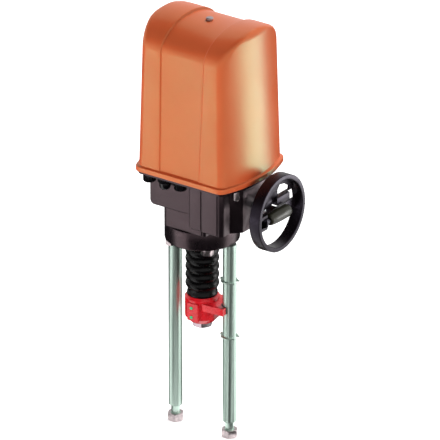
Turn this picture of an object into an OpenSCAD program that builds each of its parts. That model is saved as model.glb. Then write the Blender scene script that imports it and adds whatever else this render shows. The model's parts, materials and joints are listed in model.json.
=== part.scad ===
// Linear valve actuator: two pillars carry a cast gear housing under an orange hood.
// The origin is on the stem axis, in the plane of the pillar shoulders. +Z is up and +X points to the handwheel.
// Every piece is drawn at mid-stroke with the crank folded into the handwheel.

/* [Travel] */
// Full travel of the stem
stroke = 80; // [40:2:80]
// Bottom of the stem adapter at mid-stroke
adapter_z = 156; // [150:1:170]

/* [Pillars] */
// Distance between the pillar axes
pillar_span = 106; // [104:1:107]
// Diameter of a pillar
pillar_d = 22; // [20:1:23]
// Free length from the shoulder to the flange plate
pillar_len = 310; // [305:1:340]
// Diameter of the neck under the shoulder
neck_d = 14; // [12:0.5:15]
// Length of the neck, which is the thickness of the yoke that it passes through
neck_len = 14; // [10:1:20]
// Diameter of the threaded ends
stud_d = 16; // [15.5:0.5:16]
// Diameter of the studs that hold the pillars in the flange
top_stud_d = 10; // [8:0.5:10]
// Width across the flats of a pillar nut
nut_af = 24; // [22:1:27]
// Height of a pillar nut
nut_h = 13; // [10:1:16]

/* [Flange] */
// Diameter of the flange plate
flange_d = 120; // [118:1:124]
// Thickness of the flange plate
flange_h = 30; // [26:1:34]
// Diameter of the circle of the four flange bolts
bolt_circle = 99; // [94:1:100]
// Shank diameter of a flange bolt
bolt_d = 12; // [10:1:12]
// Width across the flats of a flange bolt
bolt_af = 18; // [17:1:19]
// Height of the head of a flange bolt
bolt_head_h = 8; // [6:1:9]

/* [Housing] */
// Height of the casting above the flange plate
body_h = 92; // [90:1:96]
// Wall of the casting
body_wall = 7; // [5:0.5:8]
// Half width of the round body's flat faces
flank_y = 56; // [55:0.5:58]
// Half width of the proud front part
front_y = 66; // [64:0.5:68]
// Front face of the casting
front_x = 85; // [83:1:87]
// Face of the block that carries the wheel shaft
block_x = 100; // [98:1:102]
// Half width of the shaft block
block_y = 30; // [28:1:32]
// Height of the proud front part's underside over the flange plate
front_lift = 13; // [11:1:18]
// Height of the gland pocket's underside over the flange plate
pocket_lift = 34; // [30:1:40]
// Rear end of the gland pocket
pocket_x = -58; // [-60:1:-54]

/* [Tray and glands] */
// Thickness of the tray
tray_h = 8; // [7:0.5:9]
// Width across the flats of a blanking plug
plug_af = 18; // [16:0.5:19]
// Width across the flats of the cable gland
gland_af = 20; // [19:0.5:20]
// Radius of the cable bore
cable_r = 4.5; // [3.5:0.25:4.75]

/* [Hood] */
// Half width over the lip
hood_y = 87; // [85:1:89]
// Half length over the lip at its corners
hood_x = 83; // [81:1:85]
// Bulge of the curved front and rear
hood_bulge = 19; // [16:1:21]
// Distance of the hood's centre from the stem axis
hood_cx = 14.5; // [13:0.5:16]
// Radius of the upright corners
hood_corner = 11; // [9:0.5:13]
// Height of the lip
lip_h = 8; // [7:0.5:10]
// Width of the lip's step
lip_w = 5; // [4.5:0.25:6]
// Height of the upright sides from the lip's foot
hood_side_h = 208; // [202:1:216]
// Rise of the arched top
arch_h = 45; // [41:1:49]
// Narrowing of each upright side over its height
hood_draft = 4; // [2:0.5:5]
// Narrowing of each curved end from the lip to the arch
end_draft = 6; // [3:0.5:7]
// Wall of the hood
hood_wall = 3; // [2:0.25:3.5]
// Rear edge of the recessed belt
belt_rear_x = -24; // [-28:1:-20]
// Front edge of the belt at the foot
belt_front_x = 51; // [48:1:54]
// Forward slant of the belt's front edge
belt_slant = 7; // [4:0.5:9]
// Depth of the belt on the sides
belt_in = 2; // [1:0.25:2.5]
// Depth of the belt on the top
belt_drop = 5; // [3:0.25:6]

/* [Stem] */
// Diameter of the stem
stem_d = 20; // [18:0.5:22]
// Height of the stem's top over the tray
stem_rise = 105; // [100:1:120]
// Radius of the threaded hole for the valve's stem
adapter_hole_r = 7.2; // [5:0.1:7.5]
// Depth of that hole
adapter_hole_l = 20; // [16:1:22]
// Width across the flats of the stem adapter
adapter_af = 30; // [28:1:32]
// Height of the adapter's hexagon
adapter_hex_h = 9; // [8:1:12]
// Diameter of the adapter's shank
shank_d = 26; // [24:0.5:28]

/* [Coupling] */
// Diameter of the red coupling
coupling_d = 56; // [54:1:60]
// Height of the red coupling
coupling_h = 46; // [44:1:48]
// Thickness of the fork
fork_h = 12; // [11:1:13]
// Underside of the fork over the foot of the coupling
fork_lift = 27; // [24:1:28]
// Width of one prong
prong_w = 8; // [6:0.5:10]
// Reach of the prongs past the pillar's axis
prong_reach = 2; // [1:1:6]
// Thickness of the slide insert
insert_w = 2; // [1.5:0.25:2.5]

/* [Bellows] */
// Outer diameter of the bellows
bellows_d = 54; // [52:1:58]
// Diameter in the valleys
valley_d = 49; // [47:1:50]
// Number of folds
folds = 6; // [4:1:7]
// Wall of the bellows
bellows_wall = 1.6; // [1.2:0.1:2]
// Height of the lower cuff
cuff_h = 12; // [10:1:13]

/* [Handwheel] */
// Diameter of the handwheel
wheel_d = 126.5; // [122:0.5:128]
// Width of its rim
rim_w = 20; // [18:0.5:22]
// Thickness of its rim
rim_t = 7.5; // [6:0.25:8]
// Front plane of the handwheel
wheel_x = 154.5; // [153:0.5:156]
// Height of the wheel's axis over the flange plate's top
wheel_lift = 49.5; // [49:0.5:50.5]
// Diameter of the wheel shaft
shaft_d = 10; // [9:0.5:10.5]
// Diameter of the crank grip
grip_d = 22; // [20:0.5:22.5]
// Length of the crank grip
grip_len = 54; // [50:1:56]
// Distance of the crank's pin from the rim's outside
pin_inset = 19.25; // [18.5:0.25:21]

/* [Gears] */
// Module of the spur gears
gear_m = 1.25; // [1.2:0.01:1.25]
// Width of the spur gears
gear_w = 10; // [8:1:11]
// Module of the bevel gears at their large end
bevel_m = 2.5; // [2.3:0.05:2.5]
// Face width of the bevel gears
bevel_w = 9; // [7:0.5:9]
// Diameter of the motor
motor_d = 70; // [64:1:71]
// Length of the motor
motor_h = 110; // [90:1:125]

/* [Hidden] */
$fn = 64;

// Clearances: loose for bolts and covers, running for shafts, seat for faces that nearly touch
loose = 0.3;
running = 0.05;
seat = 0.1;
// Overlap of a cutting tool past the face that it cuts
overlap = 1;

// Levels
flange_z = pillar_len;
body_z = flange_z + flange_h;
tray_z = body_z + body_h;
tray_top = tray_z + tray_h;
stem_top_z = tray_top + stem_rise;
hood_z = tray_z + 5;
wheel_z = body_z + wheel_lift;
coupling_z = adapter_z + adapter_hex_h;
coupling_top = coupling_z + coupling_h;
fork_z = coupling_z + fork_lift;

// Screwed ends of the pillars, flange bolts and the neck that holds the bellows
pillar_seat = 22;
washer_h = 1.5;
bolt_reach = 14;
bush_r = stem_d / 2 + 4;
neck_r = valley_d / 2 - bellows_wall - running;
neck_h = 9;

// Casting: rear corner of the flat face, steps of the proud part, floor and bearing seats
rear_corner_x = -36;
step_x = 21;
pad_x = 45;
chamfer_x = block_x - front_x;
floor_h = 14;
bearing_r = 26;
bearing_h = 11;
bearing_lift = 4;
bush_bore_r = shaft_d / 2 + 3;
tray_screw_at = [[-48, 22], [-48, -22], [66, 57.5], [66, -57.5], [-12, 48], [-12, -48]];
tray_screw_r = 3;

// Captive cover screws, measured from the hood's centre, and the lugs that they enter
screw_x = 82.5;
screw_y = 44;
screw_r = 3;
screw_hang = 19;
lug_z = tray_top + 8;
lug_h = 14;

// Hood: points of an end's arc and corner, steps of the arch, fillet over the curved ends
arc_steps = 8;
corner_steps = 5;
arch_steps = 9;
last_turn = 84;
fillet_r = 9;
ledge_z = lip_h - 2;
tray_inset = hood_wall + 1.2;
rim_inset = lip_w + hood_wall + 0.6;
rim_h = 7;
rim_half = 55;

// Cable entries along the tray's edge
gland_y = -72.5;
plug_x = [-50, -20, 10];
entry_r = 6;
plug_hang = 12;
gland_hex_h = 7;
dome_r = gland_af / 2 - 1;

// Travel clips
clip_d = 3;
clip_gap = 1;
clip_r = pillar_d / 2 + running + seat + clip_d / 2;
clip_end = 4;
upper_clip_z = fork_z + fork_h + stroke / 2 + clip_gap + clip_d / 2;
lower_clip_z = fork_z - stroke / 2 - clip_gap - clip_d / 2;

// Bellows between the flange plate's neck and the collar on the coupling
collar_h = 10;
bellows_foot = coupling_top + seat;
bellows_top = flange_z - seat;
top_cuff_h = 1;
fold_pitch = (bellows_top - top_cuff_h - cuff_h - bellows_foot) / folds;

// Coupling: set screws, flat boss, fork slot
spindle_foot = coupling_z + adapter_hole_l + 2;
shank_r = shank_d / 2;
boss_x = 12;
boss_rear_x = -8;
far_reach = -2;
boss_y = 30;
slot_y = pillar_d / 2 + insert_w + loose + running;
set_screw_r = 2.5;
set_screw_z = [coupling_z + 14, coupling_z + 30];

// Spindle nut and bearings
nut_r = stem_d / 2 + 6;
nut_foot = body_z + bearing_lift + seat;
gear_z = tray_top + 10;
nut_top = gear_z + gear_w + 1;
upper_bearing_z = tray_z - 3;

// Spur gears: the output gear on the nut, the idler and the motor pinion
pressure = 25;
output_teeth = 60;
pinion_teeth = 12;
idler_teeth = 48;
play = 0.15;
gear_pin_r = 4;
motor_x = 55;
idler_reach = (output_teeth + pinion_teeth) * gear_m / 2 + loose / 2;
motor_reach = (idler_teeth + pinion_teeth) * gear_m / 2 + loose / 2;
idler_x = (pow(motor_x, 2) + pow(idler_reach, 2) - pow(motor_reach, 2)) / (2 * motor_x);
idler_at = [idler_x, sqrt(pow(idler_reach, 2) - pow(idler_x, 2))];
idler_turn = atan2(idler_at[1], idler_at[0]);
motor_turn = atan2(-idler_at[1], motor_x - idler_at[0]);
second_z = gear_z + gear_w + 2;
bracket_z = second_z + gear_w + 4;
bracket_t = 5;

// Bevel gears: their pitch cones meet on the stem axis at the height of the wheel shaft
crown_teeth = 24;
bevel_teeth = 12;
crown_r = crown_teeth * bevel_m / 2;
bevel_r = bevel_teeth * bevel_m / 2;
cone_l = sqrt(pow(crown_r, 2) + pow(bevel_r, 2));
bevel_inner = 1 - bevel_w / cone_l;
bevel_tip = 0.8 * bevel_m;
bevel_root = 1.15 * bevel_m;
bevel_hub = 6;
bevel_back = crown_r + bevel_root * bevel_r / cone_l + bevel_hub;

// Handwheel, crank and shaft
journal_r = shaft_d / 2 - 2;
rim_r = wheel_d / 2;
crank_y = rim_r - pin_inset;
rim_back = wheel_x - rim_w;
web_t = 4;
web_x = rim_back + 1;
web_face = web_x + web_t;
screw_recess = 3;
shaft_end = web_face - screw_recess - 1.5;
hub_r = 8;
hub_back = 6;
wheel_screw_r = 2.5;
grip_x = wheel_x - 3;
pin_r = 2;
knuckle_r = 7;
ear_h = 5;
grip_start = 10;
rod_r = 4;

// Travel switches and electrical parts
rail_x = -46;
rail_y = -14;
collar_z = stem_top_z - 12;
trip_h = 10;
switch_h = 20;
board_x = -56;
board_y = 52;
post_r = 5;

// Rectangle with rounded corners
module corner_box(x0, x1, y0, y1, r) {
    for (x = [x0 + r, x1 - r], y = [y0 + r, y1 - r]) translate([x, y]) circle(r);
    translate([x0 + r, y0]) square([x1 - x0 - 2 * r, y1 - y0]);
    translate([x0, y0 + r]) square([x1 - x0, y1 - y0 - 2 * r]);
}

// Hollow cylinder standing on z
module ring(z, h, outer_r, inner_r) {
    translate([0, 0, z]) difference() {
        cylinder(h = h, r = outer_r);
        translate([0, 0, -overlap]) cylinder(h = h + 2 * overlap, r = inner_r);
    }
}

// Hexagon with chamfered corners, standing on z
module hexagon(z, h, af) {
    chamfer = af * 0.06;
    corner_r = af / sqrt(3);
    translate([0, 0, z]) intersection() {
        cylinder(h = h, r = corner_r, $fn = 6);
        rotate_extrude() polygon([[0, 0], [corner_r - chamfer, 0], [corner_r, chamfer],
            [corner_r, h - chamfer], [corner_r - chamfer, h], [0, h]]);
    }
}

// Places children at both pillar axes
module at_pillars() {
    for (side = [-1, 1]) translate([side * pillar_span / 2, 0, 0]) children();
}

// Places children on the flange's bolt circle
module at_bolts() {
    for (turn = [45:90:315]) rotate([0, 0, turn]) translate([bolt_circle / 2, 0, 0]) children();
}

module at_tray_screws() {
    for (at = tray_screw_at) translate([at[0], at[1], 0]) children();
}

module at_cover_screws() {
    for (end = [-1, 1], side = [-1, 1])
        translate([hood_cx + end * screw_x, side * screw_y, 0]) scale([end, side, 1]) children();
}

// Lays a piece drawn along +Z on the wheel shaft's axis, along +X
module along_shaft() {
    translate([0, 0, wheel_z]) rotate([0, 90, 0]) children();
}

// Pillars and nuts

module pillar(side) {
    foot = -neck_len - nut_h;
    chamfer = 1.5;
    top = pillar_len + pillar_seat;
    color("#7e9c8c") translate([side * pillar_span / 2, 0, 0]) rotate_extrude() polygon([
        [0, foot - chamfer], [stud_d / 2 - chamfer, foot - chamfer], [stud_d / 2, foot],
        [stud_d / 2, -neck_len], [neck_d / 2, -neck_len], [neck_d / 2, 0], [pillar_d / 2 - 1, 0],
        [pillar_d / 2, 1], [pillar_d / 2, pillar_len - running], [top_stud_d / 2, pillar_len - running],
        [top_stud_d / 2, top - chamfer], [top_stud_d / 2 - chamfer, top], [0, top]]);
}

module rear_pillar() pillar(-1);

module front_pillar() pillar(1);

module pillar_nuts() {
    color("#cbb6b4") at_pillars() difference() {
        hexagon(-neck_len - nut_h, nut_h, nut_af);
        translate([0, 0, -neck_len - nut_h - overlap]) cylinder(h = nut_h + 2 * overlap, r = stud_d / 2 + running);
    }
}

// Flange plate with its bolts and bush

module flange_plate() {
    edge = 1.5;
    color("#3a3338") difference() {
        translate([0, 0, flange_z]) rotate_extrude($fn = 96) polygon([[bush_r + running, -neck_h],
            [neck_r, -neck_h], [neck_r, 0], [flange_d / 2 - edge, 0], [flange_d / 2, edge],
            [flange_d / 2, flange_h], [bush_r + running, flange_h]]);
        at_pillars() translate([0, 0, flange_z - overlap])
            cylinder(h = pillar_seat + 3 + overlap, r = top_stud_d / 2 + running);
        at_bolts() translate([0, 0, flange_z - overlap]) cylinder(h = flange_h + 2 * overlap, r = bolt_d / 2 + loose);
    }
}

module flange_bolts() {
    head_z = flange_z - washer_h - seat;
    color("#c9d6d0") at_bolts() {
        translate([0, 0, head_z]) cylinder(h = washer_h, r = bolt_af / 2 + 0.5);
        rotate([0, 0, 15]) hexagon(head_z - bolt_head_h, bolt_head_h + seat, bolt_af);
        translate([0, 0, head_z]) cylinder(h = washer_h + seat + flange_h + bolt_reach, r = bolt_d / 2);
    }
}

module guide_bush() {
    color("#b08d4a") ring(flange_z - neck_h + 1, flange_h + neck_h - 1 - seat, bush_r, stem_d / 2 + running);
}

// Gear housing

// Plan of the proud front part with the shaft block between its 45-degree corners
module front_plan() {
    corner_box(pad_x, front_x, -front_y, front_y, 8);
    translate([pad_x, -front_y]) square([10, 2 * front_y]);
    polygon([[front_x - overlap, -block_y - chamfer_x], [front_x, -block_y - chamfer_x], [block_x, -block_y],
        [block_x, block_y], [front_x, block_y + chamfer_x], [front_x - overlap, block_y + chamfer_x]]);
}

// Plan of the round rear body with its flat sides
module round_plan() {
    intersection() {
        circle(r = flange_d / 2, $fn = 96);
        translate([-flange_d, -flank_y]) square([2 * flange_d, 2 * flank_y]);
    }
    corner_box(rear_corner_x, pad_x, -flank_y, flank_y, 5);
}

// Upright plate up to the tray, with rounded lower corners
module proud_plate(x0, x1, y0, y1, z0, r) {
    translate([0, y1, 0]) rotate([90, 0, 0]) linear_extrude(height = y1 - y0) {
        translate([x0 + r, z0 + r]) circle(r);
        translate([x1 - r, z0 + r]) circle(r);
        translate([x0 + r, z0]) square([x1 - x0 - 2 * r, r]);
        translate([x0, z0 + r]) square([x1 - x0, tray_z - z0 - r]);
    }
}

module gear_housing() {
    cavity_r = bearing_r + 16;
    pocket_y = front_y - 6;
    color("#3a3338") difference() {
        union() {
            translate([0, 0, body_z]) linear_extrude(height = body_h) round_plan();
            translate([0, 0, body_z + front_lift]) linear_extrude(height = body_h - front_lift) front_plan();
            proud_plate(step_x, pad_x + 12, -front_y + 1.5, front_y - 1.5, body_z + front_lift, 5);
            proud_plate(pocket_x, step_x + 10, -pocket_y, -flank_y + 8, body_z + pocket_lift, 8);
        }
        translate([0, 0, body_z + floor_h]) cylinder(h = body_h, r = cavity_r);
        translate([0, -flank_y + body_wall, body_z + front_lift + body_wall])
            cube([front_x - body_wall, 2 * (flank_y - body_wall), body_h]);
        translate([0, 0, body_z + bearing_lift]) cylinder(h = floor_h, r = bearing_r);
        translate([0, 0, body_z - overlap]) cylinder(h = floor_h, r = bush_r + 1);
        along_shaft() translate([0, 0, front_x - body_wall - overlap]) cylinder(h = block_x, r = bush_bore_r);
        at_bolts() translate([0, 0, body_z - overlap]) cylinder(h = bolt_reach + 2 + overlap, r = bolt_d / 2 + running);
        at_tray_screws() translate([0, 0, tray_z - 14]) cylinder(h = 14 + overlap, r = tray_screw_r + running);
    }
}

// Plan of the hood

// Curved end, as a distance from the hood's centre
function end_x(y, inset) = hood_x - inset + hood_bulge * (1 - pow(y / hood_y, 2));

// One end from its middle to the corner where the side begins, for a half width w and corner radius r
function half_end(w, inset, r) = let (yc = w - r) concat(
    [for (i = [0:arc_steps - 1]) [end_x(yc * i / arc_steps, inset), yc * i / arc_steps]],
    [for (i = [0:corner_steps]) let (t = 90 * i / corner_steps)
        [end_x(yc + r * sin(t), inset) - r * (1 - cos(t)), yc + r * sin(t)]]);

function reversed(list) = [for (i = [len(list) - 1:-1:0]) list[i]];

module hood_plan(inset) {
    end = half_end(hood_y - inset, inset, max(hood_corner - inset, 2));
    half = concat([for (p = end) [hood_cx - p[0], p[1]]], [for (p = reversed(end)) [hood_cx + p[0], p[1]]]);
    polygon(concat(half, [for (i = [len(half) - 2:-1:1]) [half[i][0], -half[i][1]]]));
}

// Tray that closes the housing and carries the hood

module base_tray() {
    color("#2a2528") difference() {
        union() {
            translate([0, 0, tray_z]) linear_extrude(height = tray_h) hood_plan(tray_inset);
            translate([0, 0, tray_top - overlap]) linear_extrude(height = rim_h + overlap) intersection() {
                difference() {
                    hood_plan(rim_inset);
                    hood_plan(rim_inset + 2);
                }
                translate([-2 * hood_x, -rim_half]) square([4 * hood_x, 2 * rim_half]);
            }
        }
        translate([0, 0, tray_z - overlap]) {
            cylinder(h = tray_h + 2 * overlap, r = bearing_r);
            at_tray_screws() cylinder(h = tray_h + 2 * overlap, r = tray_screw_r + loose);
            at_cover_screws() cylinder(h = tray_h + 2 * overlap, r = screw_r + loose);
            for (x = plug_x) translate([x, gland_y, 0]) cylinder(h = tray_h + 2 * overlap, r = entry_r + running);
            translate([idler_at[0], idler_at[1], 0]) cylinder(h = tray_h + 2 * overlap, r = gear_pin_r + running);
        }
    }
}

module tray_screws() {
    color("#b9bdc0") at_tray_screws() {
        translate([0, 0, tray_top + seat]) cylinder(h = 5, r = 5);
        translate([0, 0, tray_z - 12]) cylinder(h = 12 + tray_h + seat + 1, r = tray_screw_r);
    }
}

// Hood: a shell of rings, each with its half width, end inset and share of the belt's depth on side and top

function arch_level(turn, inset) = let (h = (arch_h - inset) * sin(turn),
    rise = max(h - (arch_h - inset - fillet_r), 0))
    [hood_side_h + h, (hood_y - lip_w - hood_draft - inset) * cos(turn),
        lip_w + end_draft + inset + fillet_r - sqrt(pow(fillet_r, 2) - pow(rise, 2)), cos(turn), sin(turn)];

function shell_levels(inset, lip_inset, foot_top) = concat(
    [[0, hood_y - lip_inset, lip_inset, 0, 0], [foot_top, hood_y - lip_inset, lip_inset, 0, 0],
        [foot_top + 0.6, hood_y - lip_w - inset, lip_w + inset, 1, 0]],
    [for (i = [0:arch_steps]) arch_level(last_turn * i / arch_steps, inset)]);

// Ring of points at one level, with the belt's edges as four points of each side
function shell_ring(level) = let (z = level[0], w = level[1], inset = level[2],
    r = min(hood_corner - 2, w * 0.6), end = half_end(w, inset, r),
    dy = belt_in * level[3], dz = belt_drop * level[4], edge = 0.8, shoulder = 2,
    front_edge = belt_front_x + belt_slant * z / hood_side_h,
    half = concat([for (p = end) [hood_cx - p[0], p[1], z]],
        [[belt_rear_x - shoulder, w, z], [belt_rear_x + shoulder, w - dy, z - dz],
            [front_edge - edge, w - dy, z - dz], [front_edge + edge, w, z]],
        [for (p = reversed(end)) [hood_cx + p[0], p[1], z]]))
    concat([for (p = half) [p[0], p[1], p[2] + hood_z]],
        [for (i = [len(half) - 2:-1:1]) [half[i][0], -half[i][1], half[i][2] + hood_z]]);

// Closes an outer and an inner skin of rings over the top and joins them round the foot
module shell(outer_levels, inner_levels) {
    outer = [for (level = outer_levels) shell_ring(level)];
    inner = [for (level = inner_levels) shell_ring(level)];
    n = len(outer[0]);
    m = arc_steps + corner_steps;
    base = n * len(outer);
    top = base - n;
    walls = [for (row = [0:len(outer) - 2], i = [0:n - 1]) let (a = row * n + i, b = row * n + (i + 1) % n)
        each [[a, b, a + n], [b, b + n, a + n]]];
    fans = concat([for (j = [0:2 * m - 2]) [m, (n - m + j) % n, (n - m + j + 1) % n]],
        [for (i = [m:m + 4]) each [[i, i + 1, n - i - 1], [i, n - i - 1, n - i]]],
        [for (j = [1:2 * m - 1]) [m + 5, m + 5 + j, m + 6 + j]]);
    caps = [for (f = fans) [f[0] + top, f[1] + top, f[2] + top]];
    skin = concat(walls, caps);
    lining = [for (f = skin) [f[2] + base, f[1] + base, f[0] + base]];
    foot = [for (i = [0:n - 1]) let (j = (i + 1) % n) each [[j, i, i + base], [j + base, j, i + base]]];
    polyhedron(points = concat([for (r = outer, p = r) p], [for (r = inner, p = r) p]),
        faces = concat(skin, lining, foot));
}

module cover() {
    color("#d9805c") shell(shell_levels(0, 0, lip_h), shell_levels(hood_wall, hood_wall, ledge_z));
}

// Screw head in the middle of the belt's top
module hood_plug() {
    top_z = hood_z + hood_side_h + (arch_h - belt_drop) * sin(last_turn) + seat;
    color("#c8cdd0") translate([hood_cx, 0, top_z]) rotate_extrude()
        polygon([[0, 0], [6, 0], [6, 3], [5, 4], [0, 4]]);
}

module cover_seal() {
    color("#1c1c1e") translate([0, 0, tray_top + seat])
        linear_extrude(height = hood_z + ledge_z - tray_top - 2 * seat) difference() {
            hood_plan(tray_inset + 0.4);
            hood_plan(rim_inset - 0.4);
        }
}

module cover_screws() {
    color("#e6dcdc") at_cover_screws() {
        translate([0, 0, tray_z - seat - screw_hang]) rotate_extrude()
            polygon([[0, 0], [3.5, 0], [5, 2], [5, screw_hang], [0, screw_hang]]);
        translate([0, 0, tray_z - seat - 1]) cylinder(h = lug_z + lug_h - 3 - tray_z, r = screw_r);
    }
}

module cover_lugs() {
    color("#9da3a6") at_cover_screws() difference() {
        translate([-8, -12, lug_z]) cube([13, 16, lug_h]);
        translate([0, 0, lug_z - overlap]) cylinder(h = lug_h, r = screw_r + running);
    }
}

// Cable gland and blanking plugs

module entry_thread() {
    translate([0, 0, tray_z - seat - 1]) cylinder(h = tray_h + 1, r = entry_r);
}

module blanking_plugs() {
    color("#232024") for (x = [plug_x[0], plug_x[2]]) translate([x, gland_y, 0]) {
        rotate([0, 0, 30]) hexagon(tray_z - seat - plug_hang, plug_hang, plug_af);
        entry_thread();
    }
}

module gland_body() {
    color("#232024") translate([plug_x[1], gland_y, 0]) difference() {
        union() {
            rotate([0, 0, 30]) hexagon(tray_z - seat - gland_hex_h, gland_hex_h, gland_af);
            entry_thread();
            translate([0, 0, tray_z - gland_hex_h - 5]) cylinder(h = 6, r = entry_r + 1);
        }
        translate([0, 0, tray_z - 20]) cylinder(h = 40, r = cable_r);
    }
}

module gland_dome_nut() {
    collar = 4;
    dome = 7;
    color("#232024") translate([plug_x[1], gland_y, tray_z - 2 * seat - gland_hex_h]) difference() {
        rotate_extrude() polygon(concat([[0, 0], [dome_r, 0]],
            [for (t = [0:15:75]) [cable_r + 1 + (dome_r - 1 - cable_r) * cos(t), -collar - dome * sin(t)]],
            [[0, -collar - dome]]));
        translate([0, 0, -6]) cylinder(h = 6 + overlap, r = entry_r + 1 + running);
        translate([0, 0, -20]) cylinder(h = 20, r = cable_r);
    }
}

// Travel clips on the front pillar: a spring ring with a knob on one side and two straight ends

module travel_clip(z) {
    gap = 30;
    knob = 5;
    tail_d = clip_d - 0.5;
    color("#8a8f92") translate([pillar_span / 2, 0, z]) {
        rotate([0, 0, gap]) rotate_extrude(angle = 360 - 2 * gap) translate([clip_r, 0]) circle(d = clip_d, $fn = 24);
        for (side = [-1, 1]) rotate([0, 0, side * gap]) translate([clip_r, -side * 0.4, 0])
            rotate([0, 90, side * 10]) translate([0, 0, -0.6]) cylinder(h = clip_end, d = tail_d, $fn = 24);
        translate([-clip_r - clip_d / 2 - knob / 2 + 1.2, 0, 0]) sphere(d = knob, $fn = 32);
    }
}

module upper_travel_clip() travel_clip(upper_clip_z);

module lower_travel_clip() travel_clip(lower_clip_z);

// Bellows and the collar that its lower cuff sits on

function fold_side(inset) = let (fold = [[0.1, 0.45], [0.27, 0.85], [0.5, 1], [0.73, 0.85], [0.9, 0.45], [1, 0]],
    valley_r = valley_d / 2 - inset) concat([[valley_r, 0], [valley_r, cuff_h]],
    [for (i = [0:folds - 1], part = fold)
        [valley_r + part[1] * (bellows_d - valley_d) / 2, cuff_h + (i + part[0]) * fold_pitch]],
    [[valley_r, bellows_top - bellows_foot]]);

module bellows() {
    color("#151114") translate([0, 0, bellows_foot]) rotate_extrude()
        polygon(concat(fold_side(0), reversed(fold_side(bellows_wall))));
}

module bellows_collar() {
    color("#8d9498") ring(bellows_foot, collar_h, neck_r, stem_d / 2 + running);
}

// Stem, coupling and adapter

module spindle() {
    length = stem_top_z - spindle_foot;
    color("#b9c0c4") translate([0, 0, spindle_foot]) rotate_extrude() polygon([[0, 0], [stem_d / 2 - 1, 0],
        [stem_d / 2, 1], [stem_d / 2, length - 1], [stem_d / 2 - 1, length], [0, length]]);
}

// Plan of the fork's outline, with the near prong longer than the far one
module fork_outline() {
    near = pillar_span / 2 + prong_reach;
    far = pillar_span / 2 + far_reach;
    outer = slot_y + prong_w;
    root_x = coupling_d / 2 - 12;
    polygon([[root_x, -outer - 3], [near, -outer], [near, 0], [far, 0], [far, outer], [root_x, outer + 3]]);
}

// Plan of the fork with both prongs and its slot
module fork_plan() {
    difference() {
        fork_outline();
        translate([pillar_span / 2, 0]) circle(slot_y);
        translate([pillar_span / 2, -slot_y]) square([pillar_span, 2 * slot_y]);
    }
}

module stem_coupling() {
    foot_r = coupling_d / 2 - 8;
    color("#c4232c") difference() {
        union() {
            translate([0, 0, coupling_z]) rotate_extrude() polygon([[0, 0], [foot_r, 0], [coupling_d / 2, 9],
                [coupling_d / 2, coupling_h - 4], [coupling_d / 2 - 3, coupling_h], [0, coupling_h]]);
            translate([boss_rear_x, -boss_y, coupling_z + 8]) cube([boss_x - boss_rear_x, boss_y, coupling_h - 16]);
            translate([0, 0, fork_z]) linear_extrude(height = fork_h) fork_plan();
        }
        translate([0, 0, coupling_z - overlap]) cylinder(h = adapter_hole_l + 1.5 + overlap, r = shank_r + running);
        translate([0, 0, coupling_z]) cylinder(h = coupling_h + overlap, r = stem_d / 2 + running);
        at_set_screws() translate([0, 0, -overlap]) cylinder(h = boss_y, r = set_screw_r + running);
    }
}

// Set screws from the flat boss towards the stem's axis
module at_set_screws() {
    for (z = set_screw_z) translate([0, -boss_y, z]) rotate([-90, 0, 0]) children();
}

module coupling_screws() {
    proud = 1.5;
    color("#58d8a0") for (i = [0, 1]) translate([0, -boss_y - proud, set_screw_z[i]]) rotate([-90, 0, 0])
        cylinder(h = boss_y + proud - [shank_r, stem_d / 2][i] - loose, r = set_screw_r);
}

module slide_insert() {
    guide_r = pillar_d / 2 + loose;
    body_y = slot_y - running;
    color("#2a302e") translate([0, 0, fork_z]) linear_extrude(height = fork_h) difference() {
        intersection() {
            fork_outline();
            union() {
                translate([pillar_span / 2, 0]) circle(body_y);
                translate([pillar_span / 2, -body_y]) square([prong_reach, 2 * body_y]);
            }
        }
        translate([pillar_span / 2, 0]) circle(guide_r);
        translate([pillar_span / 2, -guide_r]) square([2 * pillar_d, 2 * guide_r]);
    }
}

module stem_adapter() {
    color("#c9b6c0") difference() {
        union() {
            hexagon(adapter_z, adapter_hex_h - seat, adapter_af);
            translate([0, 0, adapter_z + 1]) cylinder(h = adapter_hex_h + adapter_hole_l, r = shank_r);
        }
        translate([0, 0, adapter_z - overlap]) cylinder(h = adapter_hole_l + overlap, r = adapter_hole_r);
    }
}

// Spindle nut and its bearings

module spindle_nut() {
    color("#b08d4a") {
        ring(nut_foot + 2, nut_top - nut_foot - 2, nut_r, stem_d / 2 + running);
        ring(nut_foot + bearing_h + seat, 3, nut_r + 3, stem_d / 2 + running);
    }
}

// Shielded ball bearing, with a groove round each face
module bearing(z) {
    mid_r = (nut_r + bearing_r) / 2;
    groove = 3;
    color("#a8adb0") difference() {
        ring(z, bearing_h, bearing_r - running, nut_r + running);
        ring(z - overlap, groove + overlap, mid_r + groove / 2, mid_r - groove / 2);
        ring(z + bearing_h - groove, groove + overlap, mid_r + groove / 2, mid_r - groove / 2);
    }
}

module lower_bearing() bearing(nut_foot);

module upper_bearing() bearing(upper_bearing_z);

module retaining_ring() {
    color("#6c7072") ring(upper_bearing_z + bearing_h + seat, 1.5, nut_r + 4, nut_r + running);
}

// Spur gears with involute flanks

function involute(base_r, r) = let (a = acos(base_r / r)) tan(a) * 180 / PI - a;

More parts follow.
